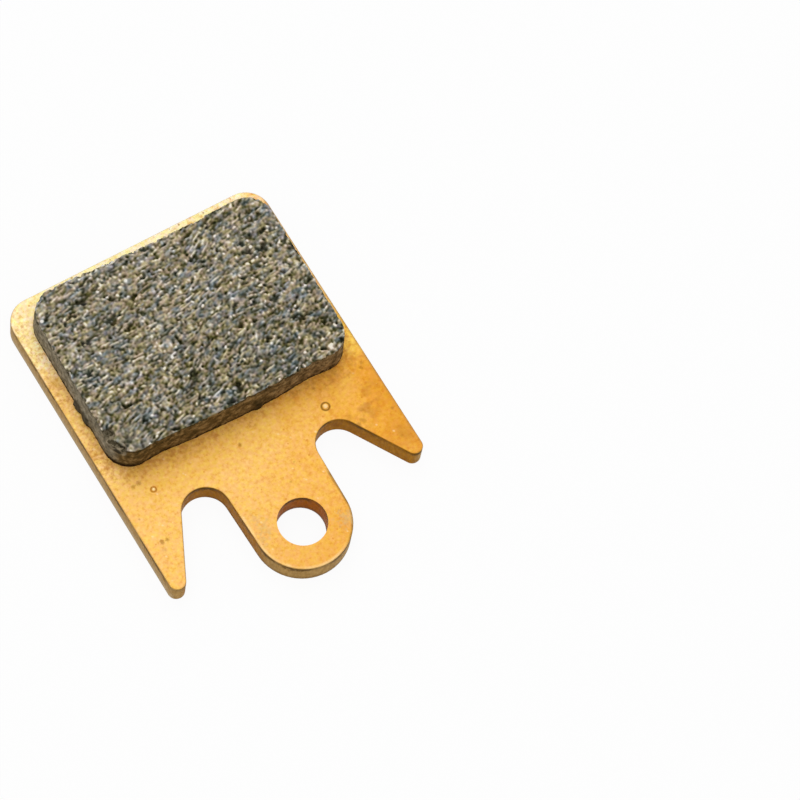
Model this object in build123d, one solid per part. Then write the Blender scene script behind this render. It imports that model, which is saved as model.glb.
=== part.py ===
"""Bicycle disc brake pad: a stamped steel backing plate with a friction block moulded onto it.

The pad lies on the back of its plate with the friction face up. The origin is the centre of the
retaining pin's hole on the back face, +Y runs from the tab to the far edge and +Z to the rotor.
All sizes are in millimetres and degrees.
"""
import os
from math import cos, radians, sin

from build123d import *

# Backing plate
PLATE_WIDTH = 21.5
PLATE_THICKNESS = 2.0
FAR_EDGE_Y = 24.8
FAR_CORNER_RADIUS = 1.9
EDGE_BREAK = 0.12

# Central tab that hangs on the retaining pin
PIN_HOLE_DIAMETER = 3.7
TAB_RADIUS = 3.65
TAB_SIDE_LEAN = 1.5

# Horns beside the tab: each narrows to the point where its two sides would meet
LEFT_HORN_POINT_Y = -2.3
LEFT_HORN_ANGLE = 26.5
RIGHT_HORN_POINT_Y = -1.2
RIGHT_HORN_ANGLE = 31.0
HORN_TIP_RADIUS = 0.65
NOTCH_RADIUS = 1.8

# Two punched holes that key the friction compound to the plate
KEY_HOLE_SPACING = 13.2
KEY_HOLE_Y = 16.4
LEFT_KEY_DIAMETER = 4.8
RIGHT_KEY_DIAMETER = 4.2
KEY_RECESS_DEPTH = 1.2
MOULD_SHRINKAGE = 0.04

# Friction block
BLOCK_WIDTH = 19.5
BLOCK_LENGTH = 14.2
BLOCK_CENTRE_Y = 16.4
BLOCK_HEIGHT = 2.7
BLOCK_CORNER_RADIUS = 2.0
BLOCK_DRAFT = 1.5
BLOCK_EDGE_ROUNDING = 0.25

SAME_POINT = 1e-4

KEY_HOLES = (
    (-KEY_HOLE_SPACING / 2, LEFT_KEY_DIAMETER),
    (KEY_HOLE_SPACING / 2, RIGHT_KEY_DIAMETER),
)


def notch_corner(tab_side, horn_point, horn_angle):
    """Where the tab's side, carried on, would meet the horn's inner side."""
    lean = radians(TAB_SIDE_LEAN)
    horn = radians(horn_angle)
    across = horn_point.X - tab_side.X
    along = horn_point.Y - tab_side.Y
    run = (across * cos(horn) + along * sin(horn)) / sin(lean + horn)
    return tab_side + Vector(sin(lean), cos(lean)) * run


def half_corners(side, horn_y, horn_angle):
    """Sharp corners of one half of the outline, from the tab's side to the far corner."""
    lean = radians(TAB_SIDE_LEAN)
    tab_side = Vector(TAB_RADIUS * cos(lean), -TAB_RADIUS * sin(lean))
    horn_point = Vector(PLATE_WIDTH / 2, horn_y)
    notch = notch_corner(tab_side, horn_point, horn_angle)
    far_corner = Vector(PLATE_WIDTH / 2, FAR_EDGE_Y)
    return [Vector(side * p.X, p.Y) for p in (tab_side, notch, horn_point, far_corner)]


def rounded(face, corner, radius):
    """The face with one of its corners rounded."""
    vertices = [v for v in face.vertices() if (Vector(v) - corner).length < SAME_POINT]
    return fillet(vertices, radius)


def plate_outline():
    """Flat outline of the plate: round tab, two notches, two pointed horns and a square body."""
    left = half_corners(-1, LEFT_HORN_POINT_Y, LEFT_HORN_ANGLE)
    right = half_corners(1, RIGHT_HORN_POINT_Y, RIGHT_HORN_ANGLE)
    sides = Polyline(*left, *reversed(right))
    tab = ThreePointArc(left[0], (0, -TAB_RADIUS), right[0])
    face = make_face([*sides.edges(), *tab.edges()])
    for tab_side, notch, horn_point, far_corner in (left, right):
        face = rounded(face, notch, NOTCH_RADIUS)
        face = rounded(face, horn_point, HORN_TIP_RADIUS)
        face = rounded(face, far_corner, FAR_CORNER_RADIUS)
    return face


def backing_plate():
    """The stamped plate, with its outer edges broken and its holes punched straight through."""
    blank = extrude(plate_outline(), PLATE_THICKNESS)
    faces = blank.faces().sort_by(Axis.Z)
    rims = faces[0].edges() + faces[-1].edges()
    plate = fillet(rims, EDGE_BREAK)
    middle = PLATE_THICKNESS / 2
    plate -= Pos(0, 0, middle) * Cylinder(PIN_HOLE_DIAMETER / 2, 2 * PLATE_THICKNESS)
    for x, diameter in KEY_HOLES:
        plate -= Pos(x, KEY_HOLE_Y, middle) * Cylinder(diameter / 2, 2 * PLATE_THICKNESS)
    return plate


def friction_block():
    """The moulded block on the plate's front, with the two plugs that it sends into the key holes."""
    base = RectangleRounded(BLOCK_WIDTH, BLOCK_LENGTH, BLOCK_CORNER_RADIUS)
    foot = Plane.XY * Pos(0, BLOCK_CENTRE_Y, PLATE_THICKNESS) * base
    block = extrude(foot, BLOCK_HEIGHT, taper=BLOCK_DRAFT)
    block = fillet(block.faces().sort_by(Axis.Z)[-1].edges(), BLOCK_EDGE_ROUNDING)
    plug_length = PLATE_THICKNESS - KEY_RECESS_DEPTH
    for x, diameter in KEY_HOLES:
        radius = diameter / 2 - MOULD_SHRINKAGE
        plug = extrude(Pos(x, KEY_HOLE_Y, KEY_RECESS_DEPTH) * Circle(radius), plug_length)
        block += plug
    return block


def main():
    os.makedirs("parts", exist_ok=True)
    nodes = {"backing_plate": backing_plate(), "friction_block": friction_block()}
    for name, solid in nodes.items():
        export_step(solid, f"parts/{name}.step")


main()
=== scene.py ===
"""Looks of a bicycle disc brake pad: gold-plated steel plate, ground friction block, plain studio.

The pad lies on its back with the friction face up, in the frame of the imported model.
Lengths are in millimetres; meshes are scaled to metres when they are finished.
"""
from collections import namedtuple
from math import cos, pi, radians, sin, tan

import bpy
import numpy as np
from mathutils import Matrix, Vector, noise


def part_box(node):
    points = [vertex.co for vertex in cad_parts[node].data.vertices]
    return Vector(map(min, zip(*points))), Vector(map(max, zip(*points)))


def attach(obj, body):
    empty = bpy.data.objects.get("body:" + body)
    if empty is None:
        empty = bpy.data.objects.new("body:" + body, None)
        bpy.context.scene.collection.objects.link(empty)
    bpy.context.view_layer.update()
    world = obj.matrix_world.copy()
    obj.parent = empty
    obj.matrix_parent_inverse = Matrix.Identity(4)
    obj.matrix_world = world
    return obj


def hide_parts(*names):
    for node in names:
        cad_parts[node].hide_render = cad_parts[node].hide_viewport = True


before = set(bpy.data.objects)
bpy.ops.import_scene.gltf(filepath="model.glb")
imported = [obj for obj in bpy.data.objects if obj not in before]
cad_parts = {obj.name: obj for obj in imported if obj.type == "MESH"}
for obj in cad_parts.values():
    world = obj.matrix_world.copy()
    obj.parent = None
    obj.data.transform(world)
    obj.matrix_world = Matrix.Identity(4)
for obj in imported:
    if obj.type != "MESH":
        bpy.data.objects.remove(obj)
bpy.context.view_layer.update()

MM = 0.001
SAME_HEIGHT = 0.001
LEVEL = (1, 1, 0)
UP = (0, 0, 1)
DOWN = (0, 0, -1)

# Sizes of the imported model
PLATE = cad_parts["backing_plate"]
FACE_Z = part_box("backing_plate")[1].z / MM
BLOCK_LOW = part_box("friction_block")[0] / MM
BLOCK_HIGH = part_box("friction_block")[1] / MM
BLOCK_MIDDLE = (BLOCK_LOW + BLOCK_HIGH) / 2
BLOCK_HALF = (BLOCK_HIGH - BLOCK_LOW) / 2

# Photograph: where the camera stands and how long its lens is
IMAGE_PIXELS = 800
SENSOR_WIDTH = 36.0
FOCAL_PIXELS = 4083.76
CAMERA_HEADING = radians(43.692)
CAMERA_ELEVATION = radians(66.024)
CAMERA_ROLL = radians(13.411)
CAMERA_DISTANCE = 298.67
CAMERA_AIM = Vector((11.663, 5.323, 0.0))
CAMERA_NEAREST = 10.0

# Studio: white surround, pale floor just under the pad, and soft lamps by name, place and power
SURROUND_LIGHT = 0.52
FLOOR_SIZE = 6000.0
FLOOR_DROP = 0.02
FLOOR_COLOUR = (0.90, 0.90, 0.90, 1)
FLOOR_WHITENESS = 0.93
LAMP_SIZE = 300.0
LAMP_AIM = Vector((0, 12, 0))
LAMPS = (("overhead", (-50, -40, 395), 0.45), ("far_side", (40, 230, 330), 0.36))

# Friction block: outline, draft, how far askew it sits, and how finely its mesh is divided
BLOCK_CORNER_RADIUS = 2.0
BLOCK_DRAFT = radians(1.5)
BLOCK_TURN = radians(-0.85)
BLOCK_SHIFT = 0.12
TOP_CELL = 0.062
WALL_ROWS = 18
WALL_STEEPNESS = 0.8
WALL_ROUGHNESS = 0.05

# Chipped top rim: how far it is broken back all round, how that varies, and where it is straighter
RIM_BREAK = 0.01
RIM_ROUGHNESS = 0.05
RIM_CHIPS = 0.12
STRAIGHTER_RIM = (7.6, 9.0)
STRAIGHTNESS = 0.65

# Plugs in the plate's key holes: place across the pad and radius of each
KEY_PLUGS = ((-6.6, 2.36), (6.6, 2.06))
KEY_HOLE_Y = 16.4
PLUG_SIDES = 72
PLUG_ROWS = 4
PLUG_RINGS = 18
PLUG_ROUGHNESS = 0.16

# Ground top face: its chart, its grinding direction, and how its tones are settled
CHART_CELL = 0.05
CHART_MARGIN = 0.5
GRAIN_SEED = 41
GRAIN_TURN = radians(11)
FINEST_DETAIL = 0.20
CONTRAST = 0.92
CRISPNESS = 0.4
TONE_CURVE = (0.945, 0.036, 0.020)
TONE_LIFT = 0.020
NEAR_SHADE = 0.058
NEAR_SIDE = (11.0, 17.0)

# Blurred grain that the flakes lie on: how far each layer runs along and across the grinding direction
RAGGED_EDGES = (0.05, 0.05)
FINE_GRAIN = (0.064, 0.060)
STREAKS = (0.22, 0.075)
PATCHES = (0.45, 0.15)
LEANING_AREAS = (1.6, 1.2)
BRASS_AREAS = (0.30, 0.20)
BRASS_GRAIN = (0.14, 0.09)

# One flake: how square it is, where its edge and its crevice fade, how far it slants and crowns, with its
# crown lit as painted highlight, and how much painted shade falls across it
FLAKE_SQUARENESS = (1.6, 3.5)
FLAKE_EDGE = (0.60, 1.20)
CREVICE_EDGE = (1.05, 1.50)
CREVICE_DEPTH = 0.20
FLAKE_SLANT = 0.04
FLAKE_CROWN = 0.08
FLAKE_SHADING = 0.05

# What lies in the compound. Lengths and widths are whole sizes, turn is the way a kind lies to the grinding
# direction and spread how far it strays from that, gap is how dark the crevice round it is, partly painted
# shade, blend is how much of what lies below it hides and ragged how uneven its outline is.
CROSSWISE = pi / 2
Flakes = namedtuple("Flakes", "count length width turn spread tone brass lift gap shine blend ragged")
DULL_GREY = Flakes(280, (0.32, 0.80), (0.19, 0.38), 0, 0.40, (0.33, 0.50), (0.0, 0.3), (-0.02, 0.04),
                   gap=0.06, shine=0.1, blend=0.7, ragged=0.15)
DULL_TAN = Flakes(300, (0.36, 0.85), (0.18, 0.36), 0, 0.30, (0.44, 0.64), (0.8, 1.0), (-0.02, 0.04),
                  gap=0.06, shine=0.0, blend=0.6, ragged=0.15)
BRASS_SLIVERS = Flakes(460, (0.55, 1.35), (0.13, 0.21), 0, 0.09, (0.58, 0.98), (0.75, 1.0), (0.0, 0.06),
                       gap=0.28, shine=0.1, blend=0.8, ragged=0.08)
GREY_SLIVERS = Flakes(200, (0.40, 1.00), (0.13, 0.21), 0, 0.12, (0.44, 0.70), (0.0, 0.3), (0.0, 0.06),
                      gap=0.26, shine=0.2, blend=0.8, ragged=0.08)
BRASS_CHIPS = Flakes(440, (0.22, 0.46), (0.14, 0.23), CROSSWISE, 0.55, (0.60, 0.98), (0.7, 1.0), (0.0, 0.06),
                     gap=0.24, shine=0.1, blend=0.8, ragged=0.15)
GREY_CHIPS = Flakes(180, (0.22, 0.46), (0.14, 0.23), CROSSWISE, 0.55, (0.44, 0.72), (0.0, 0.3), (0.0, 0.06),
                    gap=0.24, shine=0.1, blend=0.8, ragged=0.15)
PITS = Flakes(500, (0.14, 0.34), (0.12, 0.22), 0, 0.90, (0.02, 0.17), (0.5, 1.0), (-0.16, -0.08),
              gap=0.0, shine=0.0, blend=0.9, ragged=0.25)
CREVICES = Flakes(170, (0.40, 1.00), (0.09, 0.15), 0, 0.14, (0.03, 0.17), (0.5, 1.0), (-0.14, -0.08),
                  gap=0.0, shine=0.0, blend=0.9, ragged=0.15)
TORN_PITS = Flakes(60, (0.40, 0.95), (0.22, 0.40), 0, 0.80, (0.02, 0.08), (0.3, 0.9), (-0.24, -0.14),
                   gap=0.0, shine=0.0, blend=1.0, ragged=0.35)
# Bright flecks whose brightness is partly painted glint.
FLECKS_AND_PAINTED_GLINTS = Flakes(70, (0.22, 0.38), (0.15, 0.22), 0, 1.00, (0.94, 1.10), (0.55, 1.0), (0.0, 0.06),
                gap=0.24, shine=0.1, blend=0.9, ragged=0.10)
COMPOUND = (DULL_GREY, DULL_TAN, BRASS_SLIVERS, GREY_SLIVERS, BRASS_CHIPS, GREY_CHIPS, PITS, CREVICES,
            TORN_PITS, FLECKS_AND_PAINTED_GLINTS)

# Worn near-left corner: a chip and a step by middle, half length, reach and depth; two dark slots of painted
# undercut shadow by middle, running direction, half length and half width; and the middles of its darker foot
# and of its calmer face
WORN_BREAKS = ((11.65, 0.20, 0.65, 0.68), (10.60, 0.30, 0.95, 0.48))
WORN_END = (-8.2, -7.4)
WORN_DEPTH = 0.24
CHIP_EXTRA_DEPTH = 0.16
UNDERCUT_SHADOWS = (
    ((-8.92, 10.48, 4.70), (0.52, -0.86, 0.00), 0.30, 0.18),
    ((-9.42, 10.36, 4.25), (0.44, -0.74, 0.51), 0.46, 0.40),
)
DARK_CORNER_FOOT = (-9.2, 10.2)
CALM_CORNER = (-8.4, 10.7)

# Flash at the block's foot: two lumps on the left wall and one on the near wall, by middle and half length
LEFT_LUMPS = ((15.45, 0.65), (14.30, 0.70))
NEAR_LUMP = (1.7, 0.5)
LEFT_LUMP_HEIGHT = 0.20
NEAR_LUMP_HEIGHT = 0.16

# Sooty smudges on the sprayed back: place, radius and strength
SOOT = (
    (-7.4, 19.9, 2.2, 0.50), (-2.7, 19.7, 1.8, 0.35), (-8.1, 2.6, 1.8, 0.35), (-8.8, 10.9, 2.2, 0.30),
    (-4.0, 15.5, 1.4, 0.35), (3.1, 5.7, 1.2, 0.25),
)

# Brown spots, dull smudges and burnt patches on the plating: place, radius and strength
SPOTS = (
    (-9.10, 3.50, 0.20, 0.6), (-9.55, 3.55, 0.20, 0.6), (-0.90, 7.30, 0.18, 0.6), (-9.25, 8.20, 0.20, 0.5),
    (7.45, 4.45, 0.28, 0.5), (7.90, 4.60, 0.28, 0.4), (-8.70, 8.25, 0.25, 0.5), (-10.10, 5.85, 0.13, 0.5),
    (10.10, 8.60, 0.20, 0.4), (6.05, 8.55, 0.18, 0.5), (10.20, 4.45, 0.15, 0.4), (8.25, 5.30, 0.20, 0.4),
    (9.90, 8.25, 0.20, 0.4), (-9.70, 2.95, 0.25, 0.3), (0.85, 3.05, 0.13, 0.3), (1.85, 4.25, 0.13, 0.3),
    (9.65, 2.20, 0.20, 0.3), (4.07, 24.60, 0.10, 0.8), (3.28, 24.65, 0.09, 0.8), (6.12, 24.60, 0.10, 0.8),
    (-1.75, 24.60, 0.10, 0.7), (-4.93, 24.65, 0.10, 0.7),
)
SMUDGES = (
    (-2.70, 0.90, 0.60, 0.35), (-3.20, 0.20, 0.50, 0.30), (-2.90, 1.90, 0.50, 0.25),
    (2.90, -1.40, 0.70, 0.50),
)
BURNS = (
    (9.25, 6.49, 0.70, 0.40), (8.39, 5.07, 0.80, 0.55), (7.10, 5.05, 0.70, 0.45), (9.90, 2.35, 0.70, 0.40),
)

# Blisters in the plating: place, radius and screen colour of the painted shade ring round the foot. Their
# mesh rises in rings from the foot to the dimpled middle, by how far in and how far up, as shares of the
# radius.
Blister = namedtuple("Blister", "x y radius ring_colour")
BLISTERS = (Blister(6.04, 6.88, 0.31, (136, 90, 22)), Blister(-8.06, 7.34, 0.20, (182, 110, 26)))
BLISTER_SIDES = 36
BLISTER_SINK = 0.05
BLISTER_RINGS = ((0.10, 0.10), (0.14, 0.10), (0.16, 0.02), (0.16, -0.08), (0.18, -0.04))


# Colours as they show on screen, from 0 to 255. Flakes by tone from crevice to glint, walls by their mottling
FLAKE_TONES = (0.02, 0.24, 0.45, 0.70, 1.0)
OLIVE = ((22, 22, 0), (81, 78, 34), (138, 129, 91), (196, 182, 139), (246, 240, 216))
ROSY = ((26, 23, 2), (86, 77, 48), (142, 125, 101), (198, 177, 152), (248, 238, 222))
TEAL = ((18, 23, 14), (68, 78, 74), (116, 126, 128), (174, 182, 186), (244, 246, 248))
MAUVE = ((20, 20, 14), (75, 74, 74), (125, 122, 128), (183, 179, 186), (246, 244, 248))
MOTTLING = (0.36, 0.50, 0.64)
WIDE_MOTTLING = (0.34, 0.50, 0.66)
LEFT_BROWN = ((66, 52, 24), (99, 78, 43), (142, 117, 75))
RIGHT_BROWN = ((70, 56, 32), (117, 96, 64), (162, 138, 98))
TAUPE_AND_LIT_SIDE = ((104, 96, 78), (133, 123, 102), (164, 153, 131))
WALL_DUST = (52, 42, 20)
WALL_RIM_SPOTS = (44, 38, 16)
WALL_DARK_AND_SHADE = (30, 24, 10)
WALL_CONTACT_SHADOW = (36, 20, 4)
PLUG_GREY = (72, 66, 58)

# Plating from left to right, paler on the left partly by painted sheen, its pale areas of painted sheen and
# painted light and its deep areas, its rim lines with a painted highlight, and its marks
GOLD_STOPS = (0.00, 0.35, 0.60, 0.82, 1.00)
GOLD = ((245, 194, 106), (244, 188, 95), (241, 179, 78), (236, 167, 61), (226, 157, 54))
FAR_CORNER_PAINTED_SHEEN = (254, 227, 163)
FAR_EDGE_PAINTED_SHEEN = (255, 241, 186)
RIGHT_STRIP_PAINTED_LIGHT = (252, 214, 146)
RIGHT_SPOT_PAINTED_LIGHT = (255, 210, 100)
TAB_ORANGE = (236, 174, 80)
BURNT_ORANGE = (224, 146, 40)
RIM_PAINTED_HIGHLIGHT = (252, 216, 154)
TAB_DULL = (150, 112, 58)
SIDE_DULL = (168, 126, 78)
SIDE_SMEAR = (216, 160, 62)
ORANGE_SPECK = (212, 132, 36)
PALE_SPECK = (255, 226, 172)
SMUDGE_GREY = (206, 176, 128)
SPOT_BROWN = (152, 98, 28)
BURN_BROWN = (188, 122, 48)
FOOT_STAIN_AND_SHADE = (202, 132, 56)
FOOT_GRIME_AND_SHADE = (150, 92, 36)
BLISTER_PAINTED_HIGHLIGHT = (255, 230, 176)

# Sheared edges, partly painted shade, by the shade of their scoring, and the sprayed back by its grain
SCORING = (0.25, 0.75)
TAN_EDGE = ((160, 121, 60), (204, 164, 98))
NOTCH_EDGE_SHADE = ((154, 97, 10), (192, 132, 26))
HOLE_EDGE_SHADE = ((172, 97, 2), (206, 126, 8))
DUSTY_EDGE = ((98, 76, 46), (150, 122, 82))
TAB_FOOT = (104, 70, 22)
LONG_SIDE_FOOT = (206, 186, 150)
RIM_LINE = (96, 67, 8)
SPRAY_GRAIN = (0.30, 0.70)
SPRAY = ((188, 190, 195), (224, 226, 230))
BACK_SOOT = (112, 109, 104)
BACK_SPECK = (112, 110, 106)
RUBBED_RIM = (106, 98, 88)

# Tints that a colour is multiplied by
WARMER = (0.98, 0.95, 0.78)
GREENER = (1.0, 1.030, 0.845)
PINKER = (1.0, 0.960, 1.165)
DARK_GRAIN = (0.90, 0.77, 0.58)
LIGHT_GRAIN = (1.05, 1.12, 1.32)
LEFT_STRIP_PAINTED_LIGHT = (1.07, 1.12, 1.30)
LEFT_DARK_GRAIN = (0.86, 0.84, 0.80)
LEFT_LIGHT_GRAIN = (1.10, 1.12, 1.14)


def seen(red, green, blue):
    """Colour written as it shows on screen, from 0 to 255, as shader values."""
    shares = (red / 255, green / 255, blue / 255)
    return tuple(s / 12.92 if s <= 0.04045 else ((s + 0.055) / 1.055) ** 2.4 for s in shares)


class Finish:
    """One material: its surface shader, its places in millimetres, and short calls for its nodes."""

    def __init__(self, name, **values):
        self.material = bpy.data.materials.new(name)
        self.material.use_nodes = True
        self.nodes = self.material.node_tree.nodes
        self.links = self.material.node_tree.links
        self.surface = self.nodes["Principled BSDF"]
        for socket, value in values.items():
            self.surface.inputs[socket.replace("_", " ")].default_value = value
        metres = self.nodes.new("ShaderNodeTexCoord").outputs["Object"]
        scaled = self.add("ShaderNodeVectorMath", {0: metres, "Scale": 1 / MM}, operation="SCALE")
        self.place = scaled.outputs[0]
        self.x, self.y, self.z = self.add("ShaderNodeSeparateXYZ", {0: self.place}).outputs

    def add(self, kind, feeds, **settings):
        """A node with its settings made and its sockets fed by values or by other nodes."""
        node = self.nodes.new(kind)
        for setting, value in settings.items():
            setattr(node, setting, value)
        for socket, value in feeds.items():
            self.feed(node.inputs[socket], value)
        return node

    def feed(self, socket, value):
        if isinstance(value, bpy.types.NodeSocket):
            self.links.new(value, socket)
        else:
            socket.default_value = value

    def attribute(self, name):
        return self.add("ShaderNodeAttribute", {}, attribute_name=name).outputs["Fac"]

    def math(self, operation, first, second=0.0, third=0.0):
        return self.add("ShaderNodeMath", {0: first, 1: second, 2: third}, operation=operation).outputs[0]

    def plus(self, first, second):
        return self.math("ADD", first, second)

    def minus(self, first, second):
        return self.math("SUBTRACT", first, second)

    def times(self, first, *others):
        for other in others:
            first = self.math("MULTIPLY", first, other)
        return first

    def size(self, value):
        return self.math("ABSOLUTE", value)

    def length(self, across, along):
        """Length of a level way with these two parts."""
        return self.math("SQRT", self.math("MULTIPLY_ADD", across, across, self.times(along, along)))

    def ease(self, value, low, high, start=0.0, end=1.0):
        """Goes smoothly from start at low to end at high."""
        feeds = {0: value, 1: low, 2: high, 3: start, 4: end}
        return self.add("ShaderNodeMapRange", feeds, interpolation_type="SMOOTHSTEP").outputs[0]

    def uneven(self, value, cloud, reach, spread=0.20):
        """A measure shifted to and fro by a cloud, which makes the edge of what follows it ragged."""
        return self.plus(value, self.ease(cloud, 0.5 - spread, 0.5 + spread, -reach, reach))

    def stretched(self, size, turn=0.0):
        """Places measured in units of a size, turned about the upright axis."""
        feeds = {0: self.place, "Rotation": (0, 0, -turn)}
        turned = self.add("ShaderNodeMapping", feeds, vector_type="POINT").outputs[0]
        scale = tuple(1 / s for s in size)
        return self.add("ShaderNodeVectorMath", {0: turned, 1: scale}, operation="MULTIPLY").outputs[0]

    def away(self, x, y):
        """Level distance from an upright line."""
        return self.length(self.minus(self.x, x), self.minus(self.y, y))

    def spot(self, x, y):
        """Distance from a place on the plate's face."""
        feeds = {0: self.place, 1: (x, y, FACE_Z)}
        return self.add("ShaderNodeVectorMath", feeds, operation="DISTANCE").outputs["Value"]

    def cloud(self, scale, detail=2.0, rough=0.5, place=None):
        feeds = {"Vector": place or self.place, "Scale": scale, "Detail": detail, "Roughness": rough}
        return self.add("ShaderNodeTexNoise", feeds).outputs[0]

    def specks(self, scale, channel, rarity, largest, blur=0.06, place=None):
        """Share of round specks, one a cell, that grow larger where a cell's chance is above the rarity."""
        cells = self.add("ShaderNodeTexVoronoi", {"Vector": place or self.place, "Scale": scale}).outputs
        chance = self.add("ShaderNodeSeparateColor", {0: cells["Color"]}).outputs[channel]
        radius = self.ease(chance, rarity, 1.0, 0.0, largest)
        return self.ease(self.minus(cells["Distance"], radius), blur, -0.06)

    def mix(self, share, *colours):
        """A colour between two, each a node's output or a colour as it shows on screen."""
        first, second = ((*seen(*c), 1.0) if isinstance(c, tuple) else c for c in colours)
        return self.add("ShaderNodeMix", {0: share, 6: first, 7: second}, data_type="RGBA").outputs[2]

    def tinted(self, share, colour, tint):
        """A colour times a tint, as far as the share goes."""
        feeds = {0: share, 6: colour, 7: (*tint, 1.0)}
        return self.add("ShaderNodeMix", feeds, data_type="RGBA", blend_type="MULTIPLY").outputs[2]

    def ramp(self, value, positions, colours):
        """A colour that runs through these screen colours, each at its position."""
        node = self.add("ShaderNodeValToRGB", {0: value})
        points = node.color_ramp.elements
        while len(points) < len(positions):
            points.new(0.5)
        for point, position, colour in zip(points, positions, colours):
            point.position = position
            point.color = (*seen(*colour), 1.0)
        return node.outputs[0]

    def bump(self, height, distance):
        feeds = {"Height": height, "Distance": distance, "Strength": 1.0}
        return self.add("ShaderNodeBump", feeds).outputs[0]

    def finish(self, **sockets):
        for socket, value in sockets.items():
            self.feed(self.surface.inputs[socket.replace("_", " ")], value)
        return self.material


def select_none():
    bpy.ops.object.select_all(action="DESELECT")


def edit(piece):
    """Opens one piece for modelling with all of it selected."""
    select_none()
    piece.select_set(True)
    bpy.context.view_layer.objects.active = piece
    bpy.ops.object.mode_set(mode="EDIT")
    bpy.ops.mesh.select_all(action="SELECT")


def done():
    bpy.ops.object.mode_set(mode="OBJECT")


def points_of(piece):
    flat = np.empty(len(piece.data.vertices) * 3)
    piece.data.vertices.foreach_get("co", flat)
    return flat.reshape(-1, 3)


def normals_of(piece):
    flat = np.empty(len(piece.data.vertices) * 3)
    piece.data.vertex_normals.foreach_get("vector", flat)
    return flat.reshape(-1, 3)


def put_points(piece, points):
    piece.data.vertices.foreach_set("co", points.ravel())
    piece.data.update()


def put_attribute(piece, name, values):
    layer = piece.data.attributes.new(name, "FLOAT", "POINT")
    layer.data.foreach_set("value", values.astype(np.float32))


def eased(value, low, high):
    """Goes smoothly from 0 at low to 1 at high."""
    t = np.clip((value - low) / (high - low), 0, 1)
    return t * t * (3 - 2 * t)


def swell(value, middle, width):
    """A smooth rise from 0 to 1 at the middle and back."""
    return np.exp(-((value - middle) / width) ** 2)


def filtered(field, kept):
    """A field with only a share of each of its waves kept."""
    return np.fft.ifft2(np.fft.fft2(field) * kept).real


def cloudy(points, size, octaves=1):
    """Smooth noise from about -1 to 1 at each point, for features of that size."""
    found = (noise.fractal(Vector(p), 1.0, 2.0, octaves) for p in points / size)
    return np.fromiter(found, float, len(points))


def rounded_corners(points, half_width, half_length):
    """Draws the corners of the square top grid in to arcs."""
    radius = BLOCK_CORNER_RADIUS
    centre_y = BLOCK_MIDDLE.y
    moved = points.copy()
    across = np.abs(points[:, 0]) - (half_width - radius)
    along = np.abs(points[:, 1] - centre_y) - (half_length - radius)
    corner = (across > 0) & (along > 0)
    far = np.hypot(across[corner], along[corner])
    draw = np.maximum(across[corner], along[corner]) / far
    moved[corner, 0] = np.sign(points[corner, 0]) * (half_width - radius + across[corner] * draw)
    side = np.sign(points[corner, 1] - centre_y)
    moved[corner, 1] = centre_y + side * (half_length - radius + along[corner] * draw)
    return moved


def block_shell():
    """Fine top grid with rounded corners and its walls pulled down to the plate's face."""
    height = BLOCK_HIGH.z - FACE_Z
    draft = height * tan(BLOCK_DRAFT)
    half_width = BLOCK_HALF.x - draft
    half_length = BLOCK_HALF.y - draft
    centre = (0, BLOCK_MIDDLE.y, 0)
    columns = round(2 * half_width / TOP_CELL)
    rows = round(2 * half_length / TOP_CELL)
    select_none()
    bpy.ops.mesh.primitive_grid_add(x_subdivisions=columns, y_subdivisions=rows, size=2)
    block = bpy.context.object
    block.name = "friction_lining"
    edit(block)
    bpy.ops.transform.resize(value=(half_width, half_length, 1))
    bpy.ops.transform.translate(value=(0, BLOCK_MIDDLE.y, BLOCK_HIGH.z))
    done()
    put_points(block, rounded_corners(points_of(block), half_width, half_length))
    edit(block)
    bpy.ops.mesh.region_to_loop()
    drop = (0, 0, -height / WALL_ROWS)
    grow = draft / WALL_ROWS
    wider = (1 + grow / half_width, 1 + grow / half_length, 1)
    for _ in range(WALL_ROWS):
        bpy.ops.mesh.extrude_edges_move(TRANSFORM_OT_translate={"value": drop})
        bpy.ops.transform.resize(value=wider, center_override=centre)
    bpy.ops.mesh.select_all(action="SELECT")
    bpy.ops.transform.rotate(value=-BLOCK_TURN, orient_axis="Z", center_override=centre)
    bpy.ops.transform.translate(value=(BLOCK_SHIFT, 0, 0))
    done()
    return block


def key_plug(x, radius):
    """Open tube from the plate's face down into a key hole, closed by rings at its lower end."""
    select_none()
    bpy.ops.mesh.primitive_circle_add(vertices=PLUG_SIDES, radius=radius, location=(x, KEY_HOLE_Y, FACE_Z))
    plug = bpy.context.object
    bpy.ops.object.transform_apply(location=True, rotation=True, scale=True)
    edit(plug)
    drop = (0, 0, (BLOCK_LOW.z - FACE_Z) / PLUG_ROWS)
    for _ in range(PLUG_ROWS):
        bpy.ops.mesh.extrude_edges_move(TRANSFORM_OT_translate={"value": drop})
    for ring in range(PLUG_RINGS - 1, 0, -1):
        bpy.ops.mesh.extrude_edges_move()
        inward = ring / (ring + 1)
        bpy.ops.transform.resize(value=(inward, inward, 1), center_override=(x, KEY_HOLE_Y, 0))
    bpy.ops.mesh.edge_face_add()
    bpy.ops.mesh.poke()
    done()
    return plug


def closed_block():
    """Block shell and plugs as one closed mesh, with the underside filled between their rims."""
    block = block_shell()
    plugs = [key_plug(x, radius) for x, radius in KEY_PLUGS]
    select_none()
    for piece in (*plugs, block):
        piece.select_set(True)
    bpy.context.view_layer.objects.active = block
    bpy.ops.object.join()
    edit(block)
    bpy.ops.mesh.select_all(action="DESELECT")
    bpy.ops.mesh.select_mode(type="EDGE")
    bpy.ops.mesh.select_non_manifold(extend=False, use_wire=False, use_multi_face=False,
                                     use_non_contiguous=False, use_verts=False)
    bpy.ops.mesh.fill(use_beauty=True)
    bpy.ops.mesh.select_all(action="SELECT")
    bpy.ops.mesh.normals_make_consistent(inside=False)
    done()
    return block


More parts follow.
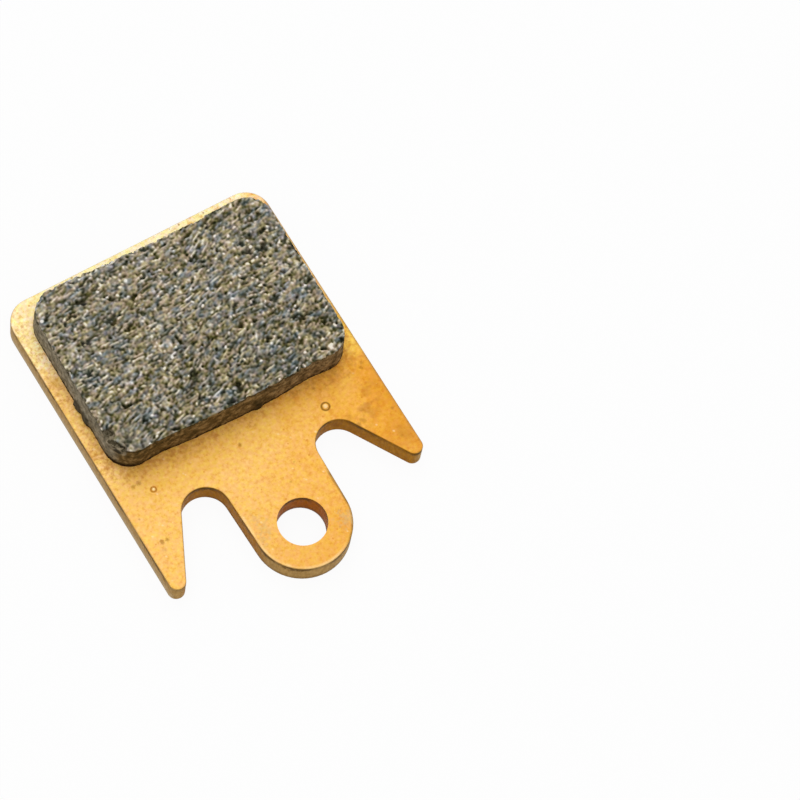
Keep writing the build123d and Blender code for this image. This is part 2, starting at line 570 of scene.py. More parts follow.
class GroundFace:
    """Chart of the ground top face: lift, tone, brass share and shine, with flakes laid on blended grain."""

    def __init__(self):
        self.low = np.array((BLOCK_LOW.x - CHART_MARGIN, BLOCK_LOW.y - CHART_MARGIN))
        self.x = np.arange(self.low[0], BLOCK_HIGH.x + CHART_MARGIN, CHART_CELL)
        self.y = np.arange(self.low[1], BLOCK_HIGH.y + CHART_MARGIN, CHART_CELL)
        self.x_waves = np.fft.fftfreq(len(self.x), CHART_CELL)[None, :]
        self.y_waves = np.fft.fftfreq(len(self.y), CHART_CELL)[:, None]
        self.draw = np.random.default_rng(GRAIN_SEED)
        self.ragged = self.grain(*RAGGED_EDGES)
        fine = self.grain(*FINE_GRAIN)
        streaks = self.grain(*STREAKS)
        patches = self.grain(*PATCHES)
        self.lift = 0.024 * fine + 0.020 * patches
        self.tone = 0.502 + 0.135 * fine + 0.070 * streaks + 0.045 * patches
        self.lean = 0.15 * self.grain(*LEANING_AREAS)
        self.zone = 0.14 * self.grain(*BRASS_AREAS) + 0.06 * patches
        self.brass = 0.71 + 0.28 * self.grain(*BRASS_GRAIN) + 0.08 * streaks + self.zone
        self.shine = np.zeros(self.tone.shape)
        for kind in COMPOUND:
            self.lay(kind)
        self.settle()

    def grain(self, along, across):
        """Seeded noise with a spread of one, blurred along and across the grinding direction."""
        run = (self.x_waves * cos(GRAIN_TURN) + self.y_waves * sin(GRAIN_TURN)) * along
        side = (self.y_waves * cos(GRAIN_TURN) - self.x_waves * sin(GRAIN_TURN)) * across
        kept = np.exp(-2 * pi ** 2 * (run * run + side * side))
        field = filtered(self.draw.standard_normal(kept.shape), kept)
        return field / field.std()

    def settle(self):
        """Takes out the finest detail, crisps the tones, thins out highlights and darkens the near side."""
        waves = np.hypot(self.x_waves, self.y_waves)
        kept = np.exp(-(waves * FINEST_DETAIL) ** 4)
        crisp = CONTRAST * (1 + CRISPNESS * (1 - np.exp(-(waves / 2) ** 2)))
        middle = self.tone.mean()
        sway = filtered(self.tone - middle, kept * crisp)
        spread = sway.std()
        sway /= spread
        straight, squared, cubed = TONE_CURVE
        sparse = straight * sway + squared * (sway * sway - 1) + cubed * sway ** 3
        near = 1 - eased(self.y[:, None], *NEAR_SIDE)
        self.tone = middle + spread * sparse + TONE_LIFT - NEAR_SHADE * near
        self.brass = filtered(self.brass, kept)
        self.lift = filtered(self.lift, kept)

    def lay(self, kind):
        """Scatters one kind of flake over the chart."""
        draw = self.draw
        for _ in range(kind.count):
            centre = (draw.uniform(self.x[0], self.x[-1]), draw.uniform(self.y[0], self.y[-1]))
            half = (draw.uniform(*kind.length) / 2, draw.uniform(*kind.width) / 2)
            turn = GRAIN_TURN + kind.turn + self.leaning(centre) + draw.normal(0, kind.spread)
            self.stamp(kind, centre, half, turn)

    def leaning(self, centre):
        """How far the flakes about a place lean away from the grinding direction, together."""
        row = int((centre[1] - self.low[1]) / CHART_CELL)
        column = int((centre[0] - self.low[0]) / CHART_CELL)
        return self.lean[row, column]

    def stamp(self, kind, centre, half, turn):
        """Lays one flake with ragged edges, a slant of its own and a crevice round it."""
        draw = self.draw
        reach = 1.6 * max(half)
        columns = slice(*np.searchsorted(self.x, (centre[0] - reach, centre[0] + reach)))
        rows = slice(*np.searchsorted(self.y, (centre[1] - reach, centre[1] + reach)))
        window = (rows, columns)
        x = self.x[columns][None, :] - centre[0]
        y = self.y[rows][:, None] - centre[1]
        along = (x * cos(turn) + y * sin(turn)) / half[0]
        across = (y * cos(turn) - x * sin(turn)) / half[1]
        square = draw.uniform(*FLAKE_SQUARENESS)
        away = (np.abs(along) ** square + np.abs(across) ** square) ** (1 / square)
        away = away + kind.ragged * self.ragged[window]
        outside = eased(away, *FLAKE_EDGE)
        body = kind.blend * (1 - outside)
        gap = kind.gap * (1 - eased(away, *CREVICE_EDGE)) * outside
        slant = FLAKE_SLANT * (draw.normal() * along + draw.normal() * across)
        # Painted highlight and shade: the crown lightens the middle of the flake and the tone varies across
        # it.
        crown = FLAKE_CROWN * (0.5 - np.clip(across * across, 0, 1))
        tone = draw.uniform(*kind.tone) + crown + draw.normal(0, FLAKE_SHADING) * across
        lift = draw.uniform(*kind.lift) + 0.4 * crown + slant
        brass = np.clip(draw.uniform(*kind.brass) + self.zone[window], 0, 1)
        # The crevice round a flake is sunk and darkened, its darkness partly painted shade.
        self.lift[window] += body * (lift - self.lift[window]) - CREVICE_DEPTH * gap
        self.tone[window] += body * (tone - self.tone[window]) - gap
        self.brass[window] += body * (brass - self.brass[window])
        self.shine[window] += body * (kind.shine - self.shine[window])

    def at(self, points, layer):
        """Value of one layer at each point, blended between the chart's cells."""
        column, row = ((points[:, :2] - self.low) / CHART_CELL).T
        left = np.clip(column.astype(int), 0, layer.shape[1] - 2)
        below = np.clip(row.astype(int), 0, layer.shape[0] - 2)
        u = column - left
        v = row - below
        near = layer[below, left] * (1 - u) + layer[below, left + 1] * u
        far = layer[below + 1, left] * (1 - u) + layer[below + 1, left + 1] * u
        return near * (1 - v) + far * v


def off_core(points):
    """Level way to each place from the block's core, whose outline lies one corner radius inside."""
    centred = points[:, :2] - (BLOCK_SHIFT, BLOCK_MIDDLE.y)
    reach = np.array((BLOCK_HALF.x, BLOCK_HALF.y)) - BLOCK_CORNER_RADIUS
    return centred - np.clip(centred, -reach, reach)


def rim_distance(points):
    """How far each place lies inside the block's outline, up to one corner radius."""
    return BLOCK_CORNER_RADIUS - np.linalg.norm(off_core(points), axis=1)


def rim_outward(points):
    """Level direction out through the nearest part of the rim."""
    way = off_core(points)
    length = np.maximum(np.linalg.norm(way, axis=1), 1e-6)
    return np.column_stack((way / length[:, None], np.zeros(len(way))))


def chipped_rim(points):
    """How far the top rim is broken back: more where a flake has come away, less on the right side."""
    chips = eased(cloudy(points, 0.55, 3), 0.05, 0.40)
    varied = RIM_ROUGHNESS * cloudy(points, 0.20, 2) + RIM_CHIPS * chips
    return RIM_BREAK + varied * (1 - STRAIGHTNESS * eased(points[:, 0], *STRAIGHTER_RIM))


def bowed(points):
    """Shift along the pad of the near and far walls, which are not quite straight."""
    x = points[:, 0]
    apart = np.abs(x)
    foot = 1 - eased(points[:, 2], FACE_Z, BLOCK_HIGH.z)
    near = 0.08 * swell(apart, 6.0, 1.6) - 0.06 * swell(x, 0.0, 3.5)
    near += foot * (0.08 * swell(apart, 6.2, 1.5) - 0.07 * swell(x, 1.5, 3.0))
    far = 0.05 * swell(x, -7.0, 2.0) - 0.16 * swell(x, 1.5, 4.0)
    share_near = 1 - eased(points[:, 1], BLOCK_LOW.y, BLOCK_MIDDLE.y)
    share_far = eased(points[:, 1], BLOCK_MIDDLE.y, BLOCK_HIGH.y)
    return near * share_near + far * share_far


def worn_lip(points):
    """How far the lip of the broken near-left corner lies inside the rim: a chip and a step beside it."""
    along = points[:, 1] + 0.12 * cloudy(points * LEVEL, 0.5, 2)
    lip = np.zeros(len(points))
    for middle, half_length, reach, depth in WORN_BREAKS:
        lip = np.maximum(lip, depth * (1 - eased(np.abs(along - middle), half_length, reach)))
    return lip * (1 - eased(points[:, 0], *WORN_END))


def worn_drop(points, lip):
    """How far the corner is broken down outside that lip."""
    outside = 1 - eased(rim_distance(points) - lip, -0.12, 0.06)
    deep = WORN_DEPTH + CHIP_EXTRA_DEPTH * eased(points[:, 1], 11.0, 11.5)
    return deep * outside * eased(lip, 0.0, 0.28)


def undercut_shadow(points):
    """Share of two dark slots at the worn corner, painted undercut shadow."""
    share = np.zeros(len(points))
    for middle, way, half_length, half_width in UNDERCUT_SHADOWS:
        off = points - middle
        run = off @ way
        aside = np.linalg.norm(off - run[:, None] * way, axis=1)
        share = np.maximum(share, 1 - eased(np.hypot(run / half_length, aside / half_width), 0.6, 1.1))
    return share


def lump(value, middle, half_length, slope):
    """Share of a lump along a wall, with flanks that take up that part of its half length."""
    return eased(np.clip(1 - np.abs(value - middle) / half_length, 0, 1), 0, slope)


def flash_lumps(points):
    """Compound squeezed out at the foot: two lumps on the left wall, a small one on the near wall."""
    foot = 1 - eased(points[:, 2], FACE_Z + 0.5, FACE_Z + 1.6)
    left = np.maximum(*(lump(points[:, 1], *place, 0.6) for place in LEFT_LUMPS)) * (points[:, 0] < -8)
    near = lump(points[:, 0], *NEAR_LUMP, 0.8) * (points[:, 1] < 10)
    return foot * (LEFT_LUMP_HEIGHT * left + NEAR_LUMP_HEIGHT * near)


def round_place(points, centre, inner, outer):
    """Share of a round area: one up to the inner radius, nothing past the outer."""
    return 1 - eased(np.hypot(points[:, 0] - centre[0], points[:, 1] - centre[1]), inner, outer)


class Relief:
    """Relief of the plain block: flaked top, moulded walls, chipped rim, worn corner, rough plug ends."""

    def __init__(self, block):
        self.points = points_of(block)
        self.facing = normals_of(block)
        height = self.points[:, 2]
        self.top = height > BLOCK_HIGH.z - SAME_HEIGHT
        self.side = ~self.top & (height > FACE_Z - SAME_HEIGHT) & (np.abs(self.facing[:, 2]) < WALL_STEEPNESS)
        self.end = height < BLOCK_LOW.z + SAME_HEIGHT
        self.below = BLOCK_HIGH.z - height
        self.inside = np.clip(rim_distance(self.points), 0, None)
        self.wear = chipped_rim(self.points * LEVEL)
        self.lip = worn_lip(self.points)
        self.drop = worn_drop(self.points, self.lip) * (self.top | self.side)
        self.broken = eased(self.drop, 0.03, 0.14) * (1 - eased(self.below, 0.4, 1.0))
        self.face = GroundFace()
        self.lumps = np.zeros(len(self.points))
        self.lumps[self.side] = flash_lumps(self.points[self.side])
        self.lift = self.raised()

    def raised(self):
        """How far each point stands out of the plain block."""
        walls = self.points[self.side]
        lift = np.zeros(len(self.points))
        lift[self.top] = self.face.at(self.points[self.top], self.face.lift)
        lift[self.side] = WALL_ROUGHNESS * cloudy(walls, 0.40, 4)
        lift[self.side] += self.lumps[self.side] * (1 + 0.4 * cloudy(walls, 0.5, 2))
        lift[self.end] = PLUG_ROUGHNESS * cloudy(self.points[self.end], 0.55, 4)
        return lift

    def shape(self, block):
        """Moves the block's points and scales them to metres."""
        points = self.points
        walls_and_top = self.top | self.side
        outward = self.facing * LEVEL
        outward[self.top] = UP
        outward[self.end] = DOWN
        moved = points + outward * self.lift[:, None]
        moved[self.top, 2] -= (self.wear * (1 - eased(self.inside, 0.0, 0.30)))[self.top]
        pulled = self.wear * (1 - eased(self.inside, 0.0, 0.40)) * (1 - eased(self.below, 0.0, 0.60))
        moved -= rim_outward(points) * (pulled * walls_and_top)[:, None]
        rough = 0.10 * cloudy(points, 0.35, 3) * self.broken
        moved[:, 2] -= (self.drop + rough) * (1 - eased(self.below, 0.0, 1.3))
        moved[walls_and_top, 1] += bowed(points[walls_and_top])
        moved[self.side & (points[:, 2] < FACE_Z + SAME_HEIGHT), 2] = FACE_Z
        put_points(block, moved * MM)

    def darkening(self):
        """Share of darkening: dark flash lumps, painted shade in the crack and the slots of the worn corner,
        and darker towards the foot there.
        """
        points = self.points
        crack = self.broken * eased(0.16 - np.abs(self.inside - self.lip), 0.0, 0.12)
        low = 1 - eased(points[:, 2], FACE_Z + 0.25, FACE_Z + 0.75)
        foot = low * round_place(points, DARK_CORNER_FOOT, 0.8, 1.8)
        return np.maximum.reduce((0.85 * eased(self.lumps, 0.03, 0.14), 0.25 * crack, undercut_shadow(points), foot))

    def colour(self, block):
        """Puts what the finish reads on the block's points."""
        points = self.points
        face = self.face
        edge = eased(self.inside - self.lip, 0.30, 0.05) * (1 - self.broken)
        calm = 0.30 * round_place(points, CALM_CORNER, 0.5, 1.7)
        tone = face.at(points, face.tone) * (1 - calm) + 0.52 * calm
        brass = face.at(points, face.brass) * (1 - calm) + 0.55 * calm
        left_wall = eased(-self.facing[:, 0], 0.75, 0.98)
        put_attribute(block, "flake_tone", tone + 0.07 * edge * (1 - 5 * self.wear))
        put_attribute(block, "brass_share", brass)
        put_attribute(block, "flake_shine", face.at(points, face.shine) * self.top)
        put_attribute(block, "wall_share", np.maximum(self.side, self.broken))
        put_attribute(block, "dark_and_shade_share", self.darkening())
        # Taupe on the left wall, partly as painted light on that side, and on the broken corner as its own
        # colour.
        put_attribute(block, "taupe_and_lit_side_share", np.maximum(left_wall * (1 - self.broken), 0.8 * self.broken))
        put_attribute(block, "plug_share", points[:, 2] < FACE_Z - SAME_HEIGHT)
        put_attribute(block, "paint_share", 0.95 * eased(self.lift, -0.15, -0.03) * self.end)


def friction_lining():
    """The friction block with its plugs, standing for the plain solid."""
    block = closed_block()
    relief = Relief(block)
    relief.shape(block)
    relief.colour(block)
    edit(block)
    bpy.ops.mesh.faces_shade_smooth()
    done()
    block.data.materials.append(friction_finish())
    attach(block, "root")
    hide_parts("friction_block")


def friction_finish():
    """Ground compound: brass-tan and blue-grey flakes, black crevices partly of painted shade, brown moulded
    walls.
    """
    made = Finish("friction_compound", Specular_IOR_Level=0.05)
    wall = made.attribute("wall_share")
    shine = made.attribute("flake_shine")
    colour = made.mix(wall, ground_colour(made), wall_colour(made))
    colour = made.mix(made.attribute("plug_share"), colour, PLUG_GREY)
    colour = made.mix(made.attribute("paint_share"), colour, sprayed(made))
    grit = made.bump(made.cloud(6.0), made.ease(wall, 0.0, 1.0, 0.008 * MM, 0.030 * MM))
    rough = made.ease(shine, 0.0, 1.0, 0.70, 0.30)
    metal = made.ease(shine, 0.0, 1.0, 0.0, 0.7)
    return made.finish(Base_Color=colour, Metallic=metal, Roughness=rough, Normal=grit)


def ground_colour(made):
    """Colour of the ground face by how dark a flake is and how much brass it has."""
    tone = made.attribute("flake_tone")
    olive, rosy, teal, mauve = (made.ramp(tone, FLAKE_TONES, kind) for kind in (OLIVE, ROSY, TEAL, MAUVE))
    grey = made.mix(made.ease(made.cloud(1.7), 0.49, 0.62), teal, mauve)
    tan_tones = made.mix(made.ease(made.cloud(2.6), 0.40, 0.60), olive, rosy)
    return made.mix(made.attribute("brass_share"), grey, tan_tones)


def wall_colour(made):
    """Moulded walls: brown near the tab, taupe on the left partly as painted light on that side, dark spots
    at the rim and a ragged foot line of painted contact shadow.
    """
    mottle = made.cloud(1.9, 4, 0.65)
    left_brown = made.ramp(mottle, MOTTLING, LEFT_BROWN)
    right_brown = made.ramp(mottle, WIDE_MOTTLING, RIGHT_BROWN)
    brown = made.mix(made.ease(made.x, -2.0, 7.0), left_brown, right_brown)
    side = made.mix(made.attribute("taupe_and_lit_side_share"), brown, made.ramp(mottle, MOTTLING, TAUPE_AND_LIT_SIDE))
    dust = made.cloud(3.5, 3, 0.6)
    side = made.mix(made.ease(dust, 0.56, 0.68, 0.0, 0.55), side, WALL_DUST)
    ragged = made.uneven(made.z, made.cloud(2.2, 3, 0.6), 0.40)
    rim_spots = made.ease(ragged, BLOCK_HIGH.z - 0.25, BLOCK_HIGH.z - 0.09, 0.0, 0.75)
    side = made.mix(rim_spots, side, WALL_RIM_SPOTS)
    # Darker lumps, with painted shade in the worn corner's crack and undercut slots and towards its foot.
    side = made.mix(made.times(made.attribute("dark_and_shade_share"), 0.9), side, WALL_DARK_AND_SHADE)
    # Painted contact shadow: a ragged dark line low on the walls at the plate's face.
    contact_shadow_line = made.ease(made.uneven(made.z, dust, 0.16, 0.15), FACE_Z + 0.36, FACE_Z + 0.12, 0.0, 0.90)
    return made.mix(contact_shadow_line, side, WALL_CONTACT_SHADOW)


def plate_finish():
    """Plated front, sheared edges painted brown partly for their shade, and a sprayed back on one stamped
    plate.
    """
    made = Finish("plated_steel", Specular_IOR_Level=0.03, Specular_Tint=(1.0, 0.80, 0.45, 1.0))
    front = made.ease(made.z, FACE_Z - 0.07, FACE_Z - 0.02)
    back = made.ease(made.z, 0.10, 0.03)
    colour = made.mix(front, edge_colour_and_shade(made), front_colour(made))
    colour = made.mix(back, colour, back_colour(made))
    metal = made.times(made.plus(front, back), 0.25)
    rough = made.ease(made.cloud(3.0, 3), 0.3, 0.7, 0.40, 0.55)
    grain = made.bump(made.cloud(5.5), 0.010 * MM)
    return made.finish(Base_Color=colour, Metallic=metal, Roughness=rough, Normal=grain)


def front_colour(made):
    """Gold plating with its grain, its rim lines and its marks."""
    return marked(made, rimmed(made, grained(made, plain_gold(made))))


def plain_gold(made):
    """Broad colours of the plating: paler on the left and deeper orange to the right, partly its own tone and
    partly painted sheen; a painted sheen at the far edge; painted light on a strip and a spot right of the
    block.
    """
    # Paler on the left and deeper orange to the right: partly the plating's own tone and partly painted
    # sheen.
    lean = made.math("MULTIPLY_ADD", made.y, -0.5, made.uneven(made.x, made.cloud(0.35, 3), 1.8, 0.25))
    across = made.add("ShaderNodeMapRange", {0: lean, 1: -3.0, 2: 8.0}).outputs[0]
    gold = made.ramp(across, GOLD_STOPS, GOLD)
    # Painted sheen: the far edge paled towards white as a painted reflection, a little deeper in colour
    # towards the far-left corner.
    wavy = made.uneven(made.y, made.cloud(0.7), 1.0)
    far = made.math("MULTIPLY_ADD", made.math("MINIMUM", made.x, 0.0), -0.21, wavy)
    pale = made.mix(made.ease(made.x, -10.5, -6.5), FAR_CORNER_PAINTED_SHEEN, FAR_EDGE_PAINTED_SHEEN)
    gold = made.mix(made.ease(far, 19.0, 24.0), gold, pale)
    # Painted light: a paler strip right of the block and a yellow pool of light by its near-right corner.
    right_strip = made.times(made.ease(made.x, 9.2, 9.8), made.ease(made.y, 12.0, 15.0))
    gold = made.mix(right_strip, gold, RIGHT_STRIP_PAINTED_LIGHT)
    gold = made.mix(made.ease(made.spot(10.2, 11.5), 3.5, 0.5), gold, RIGHT_SPOT_PAINTED_LIGHT)
    tab_end = made.times(made.ease(made.y, 6.0, -4.0, 0.0, 0.7), made.ease(made.x, -9.0, -5.0, 0.25, 1.0))
    gold = made.mix(tab_end, gold, TAB_ORANGE)
    between = made.times(made.ease(made.x, 7.0, 4.0), made.ease(made.x, -9.0, -8.0))
    foot_side = made.times(made.ease(made.y, 5.6, 7.4), made.ease(made.y, 14.0, 10.0))
    return made.tinted(made.times(foot_side, between), gold, WARMER)


def grained(made, gold):
    """Fine grain of the plating, a strip on the left made paler by painted light and given more grain, and
    burnt orange on the right.
    """
    tint = made.ease(made.cloud(3.2), 0.34, 0.66)
    gold = made.tinted(tint, gold, GREENER)
    gold = made.tinted(made.minus(1.0, tint), gold, PINKER)
    shade = made.cloud(4.2)
    gold = made.tinted(made.ease(shade, 0.50, 0.76), gold, DARK_GRAIN)
    gold = made.tinted(made.ease(shade, 0.50, 0.26), gold, LIGHT_GRAIN)
    left = made.times(made.ease(made.x, -9.0, -9.8), made.ease(made.y, 8.0, 10.0))
    # Painted light: the left strip beside the block lightened.
    gold = made.tinted(made.times(left, made.ease(made.y, 22.0, 20.0)), gold, LEFT_STRIP_PAINTED_LIGHT)
    gold = made.tinted(made.times(left, made.ease(shade, 0.50, 0.68)), gold, LEFT_DARK_GRAIN)
    gold = made.tinted(made.times(left, made.ease(shade, 0.50, 0.32)), gold, LEFT_LIGHT_GRAIN)
    burnt = made.ease(made.cloud(1.5, 4, 0.65), 0.48, 0.68, 0.0, 0.60)
    return made.mix(made.times(burnt, made.ease(made.x, 0.0, 6.0)), gold, BURNT_ORANGE)


def rimmed(made, gold):
    """A pale line round the tab's rim as a painted highlight and a dull one on its right, dull lines along
    the long sides, a smear.
    """
    patchy = made.ease(made.cloud(0.9, 3, 0.6), 0.30, 0.65)
    reach = made.length(made.x, made.math("MINIMUM", made.y, 0.0))
    tab = made.times(made.ease(made.y, 3.0, 2.0), made.ease(made.size(made.x), 5.5, 4.5))
    # Painted highlight: a pale line along the left part of the tab's rim.
    pale = made.times(tab, made.ease(reach, 3.34, 3.58), made.ease(made.x, 2.4, 1.2))
    gold = made.mix(made.times(pale, made.math("MULTIPLY_ADD", patchy, 0.5, 0.25)), gold, RIM_PAINTED_HIGHLIGHT)
    dull = made.times(tab, made.ease(reach, 3.42, 3.56), made.ease(made.x, 1.6, 2.6))
    gold = made.mix(made.times(dull, made.math("MULTIPLY_ADD", patchy, 0.5, 0.4)), gold, TAB_DULL)
    sides = made.plus(made.ease(made.x, 10.48, 10.68), made.ease(made.x, -10.60, -10.74, 0.0, 0.5))
    gold = made.mix(made.times(sides, made.math("MULTIPLY_ADD", patchy, 0.4, 0.15)), gold, SIDE_DULL)
    return made.mix(made.ease(made.spot(-10.2, 18.0), 0.8, 0.1, 0.0, 0.40), gold, SIDE_SMEAR)


def stained(made, colour, marks, cloud, wander, outer, inner, stain):
    """Ragged marks of one stain, fading from the inner to the outer share of their radius."""
    for x, y, radius, strength in marks:
        ragged = made.uneven(made.spot(x, y), cloud, wander * radius, 0.25)
        colour = made.mix(made.ease(ragged, outer * radius, inner * radius, 0.0, strength), colour, stain)
    return colour


def marked(made, gold):
    """Orange and pale specks, smudges, brown spots, stain and painted shade at the block's foot, burns, and
    blister rings of painted shade with painted highlights in their middles.
    """
    orange_specks = made.specks(1.9, 1, 0.35, 0.16)
    gold = made.mix(made.times(orange_specks, 0.60), gold, ORANGE_SPECK)
    pale_specks = made.specks(1.5, 0, 0.55, 0.16, 0.08, made.stretched((0.8, 1.0, 1.0), 0.7))
    gold = made.mix(made.times(pale_specks, 0.5), gold, PALE_SPECK)
    blur = made.cloud(2.6, 4, 0.7)
    gold = stained(made, gold, SMUDGES, blur, 1.0, 1.2, 0.0, SMUDGE_GREY)
    gold = stained(made, gold, SPOTS, blur, 0.5, 1.2, 0.2, SPOT_BROWN)
    gold = foot_stain_and_shade(made, gold)
    gold = stained(made, gold, BURNS, made.cloud(1.3), 0.8, 1.4, -0.2, BURN_BROWN)
    for mark in BLISTERS:
        off = made.minus(made.spot(mark.x, mark.y), mark.radius)
        # Painted shade: a dark ring round each blister's foot; painted highlight: its middle paled.
        ring = made.ease(made.size(off), 0.11, 0.02, 0.0, 0.75)
        gold = made.mix(ring, gold, mark.ring_colour)
        middle = made.ease(off, -0.35 * mark.radius, -0.6 * mark.radius, 0.0, 0.7)
        gold = made.mix(middle, gold, BLISTER_PAINTED_HIGHLIGHT)
    return gold


def foot_stain_and_shade(made, gold):
    """Brown stain and grime on the plating along the block's foot, with painted shade there, mostly on the
    near side.
    """
    foot = block_distance(made)
    uneven = made.uneven(foot, made.cloud(1.3, 4, 0.65), 0.8)
    stain = made.times(made.ease(uneven, 1.4, 0.1), made.ease(made.cloud(3.4), 0.32, 0.68, 0.10, 0.70),
                       made.ease(made.y, 14.0, 11.0, 0.15, 1.0))
    gold = made.mix(stain, gold, FOOT_STAIN_AND_SHADE)
    # Painted shade and grime: darker still within a short way of the block's foot.
    grime_and_shade = made.times(made.ease(foot, 0.8, 0.0), made.ease(made.cloud(3.0, 3, 0.6), 0.50, 0.70, 0.0, 0.28),
                       made.ease(made.y, 18.0, 13.0, 0.1, 1.0))
    return made.mix(grime_and_shade, gold, FOOT_GRIME_AND_SHADE)


def block_distance(made):
    """Level distance out from the friction block's foot."""
    feeds = {0: made.place, 1: (BLOCK_SHIFT, BLOCK_MIDDLE.y, 0)}
    centred = made.add("ShaderNodeVectorMath", feeds, operation="SUBTRACT").outputs[0]
    turned = made.add("ShaderNodeMapping", {0: centred, "Rotation": (0, 0, -BLOCK_TURN)}).outputs[0]
    x, y = made.add("ShaderNodeSeparateXYZ", {0: turned}).outputs[:2]
    across = made.minus(made.size(x), BLOCK_HALF.x - BLOCK_CORNER_RADIUS)
    along = made.minus(made.size(y), BLOCK_HALF.y - BLOCK_CORNER_RADIUS)
    outside = made.length(made.math("MAXIMUM", across, 0.0), made.math("MAXIMUM", along, 0.0))
    return made.minus(outside, BLOCK_CORNER_RADIUS)


def edge_colour_and_shade(made):
    """Sheared edge, its colour partly its own and partly painted shade: tan outside, browner in notches and
    holes, the centre hole deep orange also by painted reflection, with a ragged dark line under the rim.
    """
    apart = made.size(made.x)
    scoring = made.cloud(4.0, 3, 0.6, made.stretched((1.0, 1.0, 3.0)))
    tan_edge = made.ramp(scoring, SCORING, TAN_EDGE)
    notch_edge_shade = made.ramp(scoring, SCORING, NOTCH_EDGE_SHADE)
    hole_edge_shade = made.ramp(scoring, SCORING, HOLE_EDGE_SHADE)
    dusty_edge = made.ramp(scoring, SCORING, DUSTY_EDGE)
    # Painted shade: the notch walls browner, and the centre hole's wall deep orange as painted shade and
    # painted reflection of the plating.
    inside = made.times(made.ease(made.y, -1.6, 0.6), made.ease(apart, 10.4, 9.6))
    edge = made.mix(inside, tan_edge, notch_edge_shade)
    edge = made.mix(made.ease(made.away(0, 0), 2.6, 2.1), edge, hole_edge_shade)
    for x, radius in KEY_PLUGS:
        key_wall = made.ease(made.away(x, KEY_HOLE_Y), radius + 0.5, radius + 0.2)
        edge = made.mix(key_wall, edge, dusty_edge)
    tab_foot = made.times(made.ease(apart, 6.0, 4.0), made.ease(made.z, 0.7, 0.1, 0.0, 0.5))
    edge = made.mix(tab_foot, edge, TAB_FOOT)
    long_side = made.times(made.ease(apart, 10.5, 10.7), made.ease(made.z, 1.3, 0.1, 0.0, 0.6))
    edge = made.mix(long_side, edge, LONG_SIDE_FOOT)
    ragged = made.uneven(made.z, made.cloud(3.6, 3, 0.6), 0.16)
    line = made.times(made.ease(ragged, FACE_Z - 0.65, FACE_Z - 0.25),
                      made.ease(made.z, FACE_Z - 0.04, FACE_Z - 0.10),
                      made.ease(made.cloud(0.45), 0.40, 0.60, 0.30, 0.95))
    return made.mix(line, edge, RIM_LINE)


def back_colour(made):
    """Silver spray on the back: fine grain, sooty smudges, dark specks and rubbed rims at the key holes."""
    silver = sprayed(made)
    drift = made.cloud(0.8, 3)
    speckle = made.ease(made.cloud(3.2, 4, 0.7), 0.36, 0.64, 0.35, 1.0)
    for x, y, radius, strength in SOOT:
        ragged = made.uneven(made.away(x, y), drift, 0.8 * radius, 0.25)
        cover = made.times(made.ease(ragged, 1.6 * radius, -0.4 * radius, 0.0, strength), speckle)
        silver = made.mix(cover, silver, BACK_SOOT)
    dark_specks = made.specks(1.8, 1, 0.45, 0.14)
    silver = made.mix(made.times(dark_specks, 0.6), silver, BACK_SPECK)
    rub = made.cloud(2.4, 3, 0.6)
    for x, radius in KEY_PLUGS:
        ragged = made.uneven(made.minus(made.away(x, KEY_HOLE_Y), radius), rub, 0.14)
        silver = made.mix(made.ease(ragged, 0.30, 0.06, 0.0, 0.7), silver, RUBBED_RIM)
    return silver


def sprayed(made):
    """Colour of silver spray paint."""
    return made.ramp(made.cloud(6.0, 3, 0.6), SPRAY_GRAIN, SPRAY)


def blister(mark, number):
    """Small dimpled bubble in the plating, its foot sunk into the plate."""
    select_none()
    bpy.ops.mesh.primitive_circle_add(vertices=BLISTER_SIDES, radius=mark.radius, fill_type="NGON",
                                      location=(mark.x, mark.y, FACE_Z - BLISTER_SINK))
    bubble = bpy.context.object
    bubble.name = f"plating_blister_{number}"
    bpy.ops.object.transform_apply(location=True, rotation=True, scale=True)
    edit(bubble)
    bpy.ops.mesh.extrude_region_move(TRANSFORM_OT_translate={"value": (0, 0, BLISTER_SINK)})
    for inward, rise in BLISTER_RINGS:
        bpy.ops.mesh.inset(thickness=inward * mark.radius, depth=rise * mark.radius)
    bpy.ops.mesh.poke()
    bpy.ops.mesh.select_all(action="SELECT")
    bpy.ops.mesh.normals_make_consistent(inside=False)
    bpy.ops.mesh.faces_shade_smooth()
    bpy.ops.transform.resize(value=(MM, MM, MM), center_override=(0, 0, 0))
    done()
    bubble.data.materials.append(PLATE.data.materials[0])
    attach(bubble, "root")


def photograph_camera():
    """Camera where the photograph was taken from."""
    ahead = Vector((sin(CAMERA_HEADING) * cos(CAMERA_ELEVATION), cos(CAMERA_HEADING) * cos(CAMERA_ELEVATION),
                    -sin(CAMERA_ELEVATION)))
    level = Vector((cos(CAMERA_HEADING), -sin(CAMERA_HEADING), 0))
    over = level.cross(ahead)
    right = level * cos(CAMERA_ROLL) + over * sin(CAMERA_ROLL)
    up = over * cos(CAMERA_ROLL) - level * sin(CAMERA_ROLL)
    bpy.ops.object.camera_add()
    camera = bpy.context.object
    camera.name = "photograph_camera"
    turn = Matrix((right, up, -ahead)).transposed().to_4x4()
    camera.matrix_world = Matrix.Translation((CAMERA_AIM - ahead * CAMERA_DISTANCE) * MM) @ turn
    camera.data.sensor_width = SENSOR_WIDTH
    camera.data.lens = FOCAL_PIXELS / IMAGE_PIXELS * SENSOR_WIDTH
    camera.data.clip_start = CAMERA_NEAREST * MM
    bpy.context.scene.camera = camera


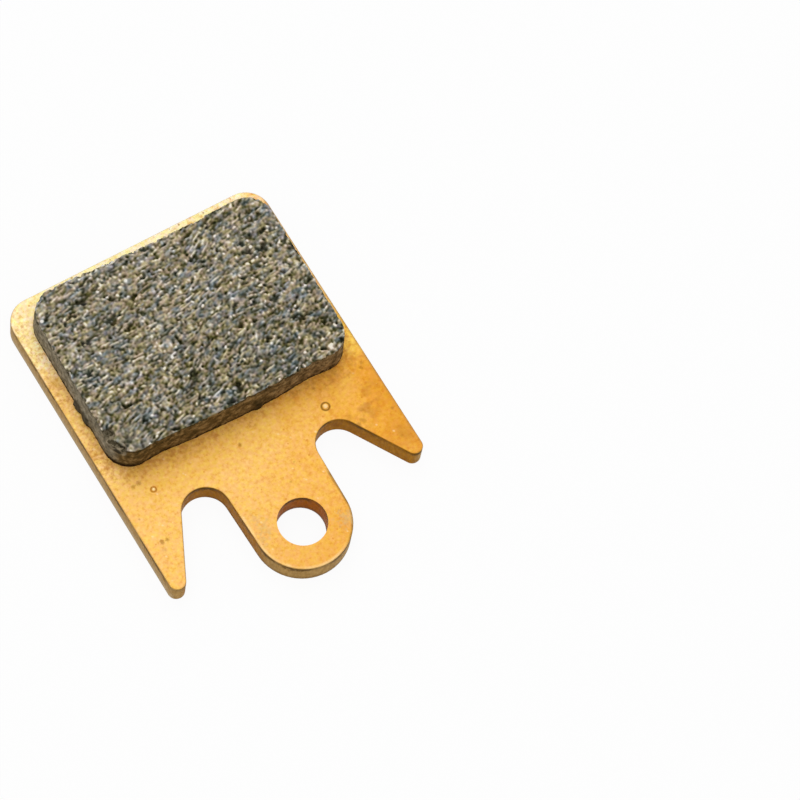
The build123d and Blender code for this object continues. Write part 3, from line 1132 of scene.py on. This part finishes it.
def seen_share(tree, plain):
    """Node output that is one for rays that see the background, and plain for rays that light."""
    path = tree.nodes.new("ShaderNodeLightPath")
    sight = path.outputs["Is Camera Ray"]
    for ray in ("Is Glossy Ray", "Is Transmission Ray"):
        both = tree.nodes.new("ShaderNodeMath")
        both.operation = "MAXIMUM"
        tree.links.new(sight, both.inputs[0])
        tree.links.new(path.outputs[ray], both.inputs[1])
        sight = both.outputs[0]
    level = tree.nodes.new("ShaderNodeMapRange")
    tree.links.new(sight, level.inputs[0])
    level.inputs[3].default_value = plain
    return level.outputs[0]


def floor_finish():
    """Pale floor, nearly white where it is seen and still shaded by the pad."""
    material = bpy.data.materials.new("floor_white")
    material.use_nodes = True
    tree = material.node_tree
    shade = tree.nodes["Principled BSDF"]
    shade.inputs["Base Color"].default_value = FLOOR_COLOUR
    shade.inputs["Roughness"].default_value = 0.9
    shade.inputs["Specular IOR Level"].default_value = 0.1
    glow = tree.nodes.new("ShaderNodeEmission")
    blend = tree.nodes.new("ShaderNodeMixShader")
    level = tree.nodes.new("ShaderNodeMath")
    level.operation = "MULTIPLY"
    level.inputs[1].default_value = FLOOR_WHITENESS
    tree.links.new(seen_share(tree, 0.0), level.inputs[0])
    tree.links.new(level.outputs[0], blend.inputs[0])
    tree.links.new(shade.outputs[0], blend.inputs[1])
    tree.links.new(glow.outputs[0], blend.inputs[2])
    tree.links.new(blend.outputs[0], tree.nodes["Material Output"].inputs[0])
    return material


def floor():
    """Wide table top that the pad lies on."""
    select_none()
    bpy.ops.mesh.primitive_plane_add(size=FLOOR_SIZE * MM, location=(0, 0, -FLOOR_DROP * MM))
    table = bpy.context.object
    table.name = "floor"
    table.data.materials.append(floor_finish())


def softbox(name, place, power):
    """Soft square lamp turned towards the pad."""
    bpy.ops.object.light_add(type="AREA", location=Vector(place) * MM)
    lamp = bpy.context.object
    lamp.name = name
    lamp.data.size = LAMP_SIZE * MM
    lamp.data.energy = power
    lamp.rotation_euler = (LAMP_AIM - Vector(place)).to_track_quat("-Z", "Y").to_euler()


def studio():
    """White surround, one wide soft lamp overhead and a weaker one beyond the far edge."""
    world = bpy.data.worlds.new("white_surround")
    world.use_nodes = True
    bpy.context.scene.world = world
    surround = world.node_tree.nodes["Background"]
    surround.inputs["Color"].default_value = (1, 1, 1, 1)
    world.node_tree.links.new(seen_share(world.node_tree, SURROUND_LIGHT), surround.inputs["Strength"])
    for name, place, power in LAMPS:
        softbox(name, place, power)


PLATE.data.materials.clear()
PLATE.data.materials.append(plate_finish())
for number, mark in enumerate(BLISTERS, 1):
    blister(mark, number)
friction_lining()
photograph_camera()
floor()
studio()
bpy.context.scene.view_settings.view_transform = "Standard"
